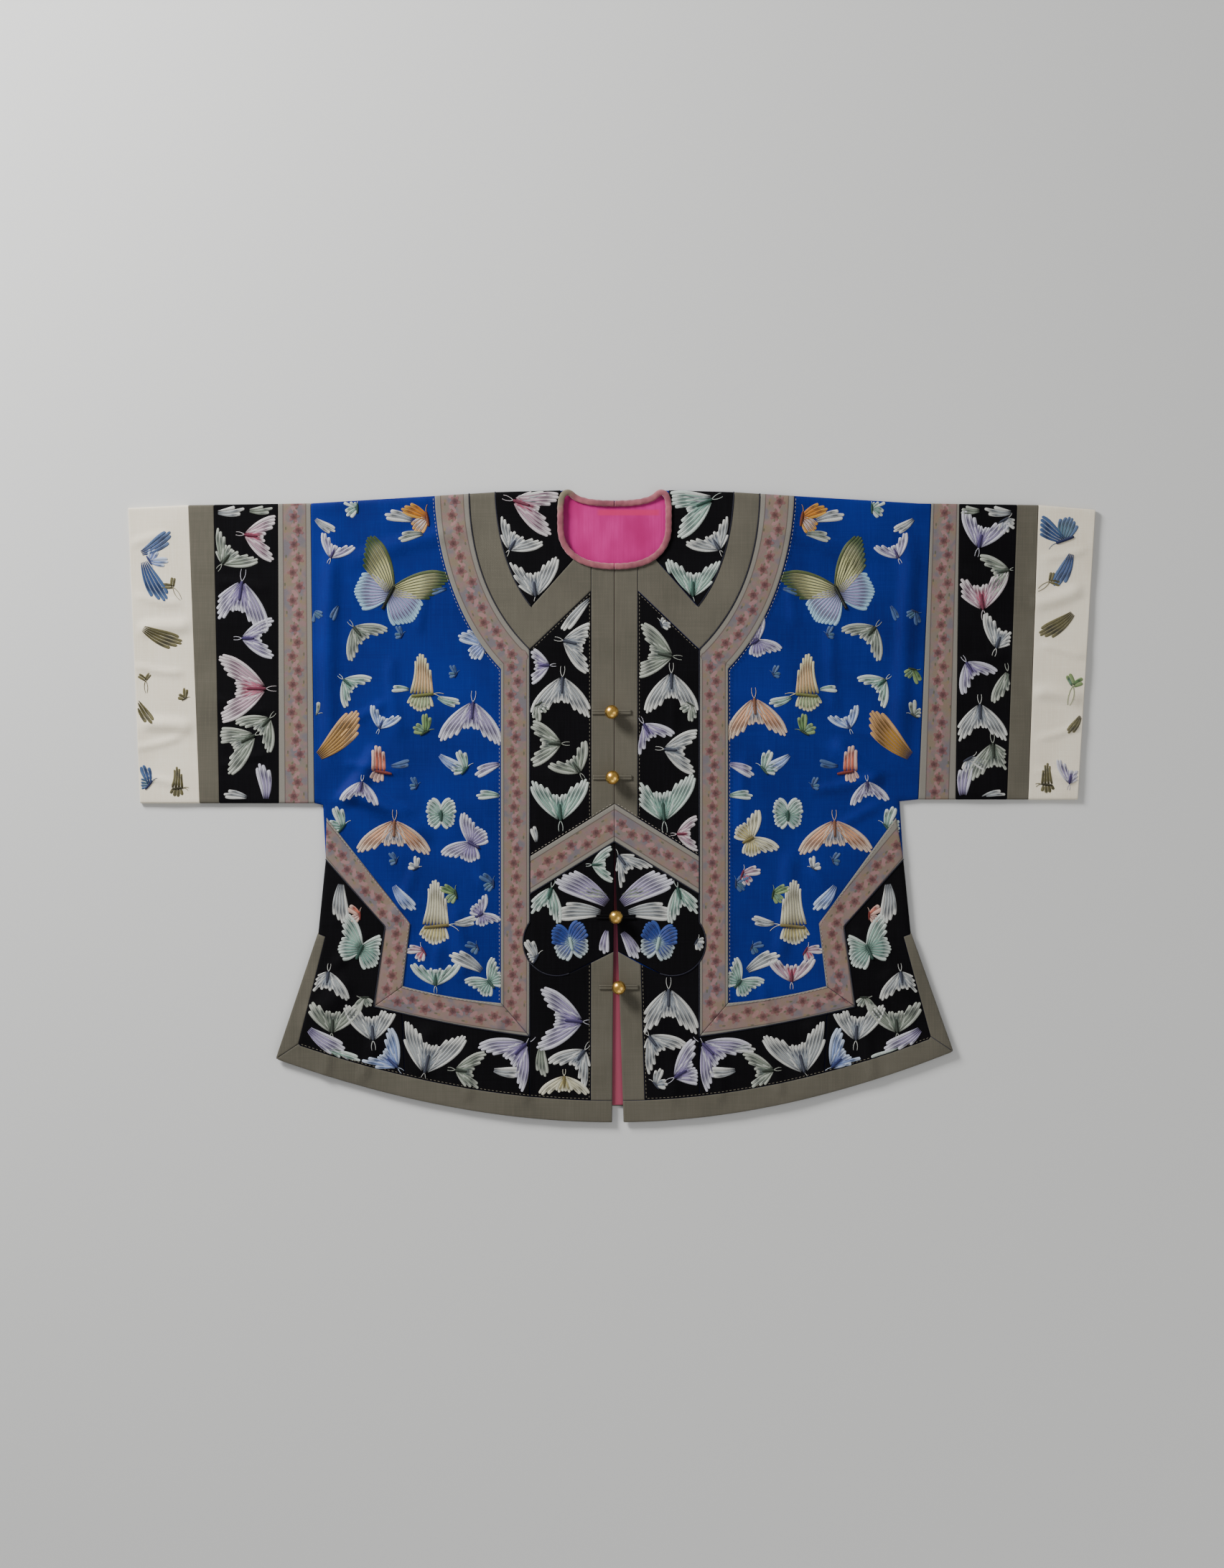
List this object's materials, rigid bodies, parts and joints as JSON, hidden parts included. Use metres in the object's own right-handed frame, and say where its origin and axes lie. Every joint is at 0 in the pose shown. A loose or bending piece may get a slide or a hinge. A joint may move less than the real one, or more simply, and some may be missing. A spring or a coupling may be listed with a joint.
{
  "type": "manchu jacket laid flat",
  "caption": "Wide-sleeved silk jacket with a centre-front opening, banded borders, ribbons and ball buttons, laid flat with its front up.",
  "frame": {"origin": "middle of the jacket's outline, on the surface that it lies on", "axes": "+X across the sleeves towards the picture's right, +Y up to the collar, +Z off the surface"},
  "size_m": [1.0378, 0.6794, 0.0241],
  "materials": {
    "blue_silk": "fine silk satin with a soft sheen, embroidered with small butterflies",
    "black_satin": "black silk satin, densely embroidered with pale butterflies",
    "grey_silk": "plain woven grey-brown silk, low sheen",
    "floral_ribbon": "woven ribbon with a small rose and green flower repeat",
    "cream_satin": "cream silk satin with sparse embroidery",
    "pink_lining": "bright pink plain silk",
    "neck_binding": "rolled bias silk binding, dusty rose to olive",
    "gilt_brass": "polished gilt ball with faint wear"
  },
  "bodies": {
    "root": {"back_body": "blue_silk", "back_border": "black_satin", "back_binding": "grey_silk", "lining_back": "pink_lining", "ground_left": "blue_silk", "ground_right": "blue_silk", "yoke_left": "black_satin", "yoke_right": "black_satin", "yoke_band_left": "grey_silk", "yoke_band_right": "grey_silk", "placket_upper_left": "grey_silk", "placket_upper_right": "grey_silk", "front_band_left": "black_satin", "front_band_right": "black_satin", "chevron_left": "floral_ribbon", "chevron_right": "floral_ribbon", "cloud_left": "black_satin", "cloud_right": "black_satin", "ribbon_front_left": "floral_ribbon", "ribbon_front_right": "floral_ribbon", "ribbon_hem_left": "floral_ribbon", "ribbon_hem_right": "floral_ribbon", "ribbon_slit_left": "floral_ribbon", "ribbon_slit_right": "floral_ribbon", "placket_lower_left": "grey_silk", "placket_lower_right": "grey_silk", "border_front_left": "black_satin", "border_front_right": "black_satin", "border_hem_left": "black_satin", "border_hem_right": "black_satin", "border_side_left": "black_satin", "border_side_right": "black_satin", "binding_slit_left": "grey_silk", "binding_slit_right": "grey_silk", "binding_hem_left": "grey_silk", "binding_hem_right": "grey_silk", "sleeve_ribbon_left": "floral_ribbon", "sleeve_ribbon_right": "floral_ribbon", "sleeve_black_left": "black_satin", "sleeve_black_right": "black_satin", "sleeve_grey_left": "grey_silk", "sleeve_grey_right": "grey_silk", "sleeve_cuff_left": "cream_satin", "sleeve_cuff_right": "cream_satin", "neck_binding_left": "neck_binding", "neck_binding_right": "neck_binding", "button_cord_1": "grey_silk", "button_cord_2": "grey_silk", "button_cord_3": "black_satin", "button_cord_4": "grey_silk", "button_loop_1": "grey_silk", "button_loop_2": "grey_silk", "button_loop_3": "black_satin", "button_loop_4": "grey_silk", "button_1": "gilt_brass", "button_2": "gilt_brass", "button_3": "gilt_brass", "button_4": "gilt_brass"}
  },
  "joints": []
}
